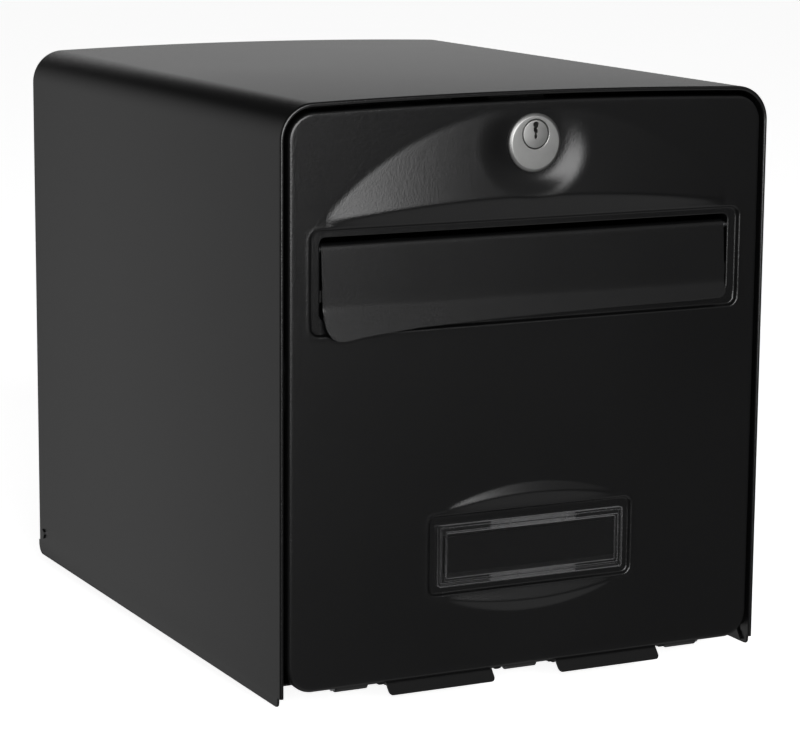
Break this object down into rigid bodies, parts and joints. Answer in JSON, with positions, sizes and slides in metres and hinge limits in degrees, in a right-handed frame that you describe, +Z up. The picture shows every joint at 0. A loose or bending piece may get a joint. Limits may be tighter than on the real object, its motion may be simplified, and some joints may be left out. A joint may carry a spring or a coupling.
{
  "type": "parcel drop box",
  "caption": "Sheet-steel parcel drop box with a bottom-hinged locking front door, a hinged letter flap and a clear name holder.",
  "frame": {"origin": "middle of the bounding box at the level of the base", "axes": "+X to the right seen from the front, +Y from the door to the rear panel, +Z up"},
  "size_m": [0.2816, 0.362, 0.3053],
  "materials": {
    "powder_coat": "fine-textured satin black powder coat",
    "zinc_steel": "bright zinc-plated",
    "lock_chrome": "satin nickel with polished bevel",
    "buffer_rubber": "matt",
    "card_black": "matt black insert",
    "clear_cover": "clear, glossy"
  },
  "bodies": {
    "housing": {"outer_casing": "powder_coat", "rear_panel": "powder_coat", "floor_panel": "powder_coat", "hinge_rod": "zinc_steel", "latch_strike": "powder_coat", "door_stop_left": "powder_coat", "door_stop_right": "powder_coat", "stop_buffer_left": "buffer_rubber", "stop_buffer_right": "buffer_rubber", "side_rivet_left": "powder_coat", "side_rivet_right": "powder_coat"},
    "door": {"door_panel": "powder_coat", "flap_rod": "zinc_steel", "flap_lug_left": "powder_coat", "flap_lug_right": "powder_coat", "rod_clip_left": "zinc_steel", "rod_clip_right": "zinc_steel", "lock_barrel": "lock_chrome", "lock_nut": "zinc_steel", "name_card": "card_black", "name_cover": "clear_cover"},
    "flap": {"slot_flap": "powder_coat"},
    "lock_core": {"lock_plug": "lock_chrome", "lock_cam": "zinc_steel", "cam_screw": "zinc_steel"}
  },
  "joints": [
    {"name": "door_hinge", "type": "hinge", "parent": "housing", "child": "door", "pos_m": [0, -0.1685, 0.0064], "axis": [1, 0, 0], "range_deg": [0, 90]},
    {"name": "flap_hinge", "type": "hinge", "parent": "door", "child": "flap", "pos_m": [0, -0.1696, 0.2303], "axis": [-1, 0, 0], "range_deg": [0, 90]},
    {"name": "lock_turn", "type": "hinge", "parent": "door", "child": "lock_core", "pos_m": [0, -0.17, 0.2833], "axis": [0, 1, 0], "range_deg": [0, 90]}
  ]
}
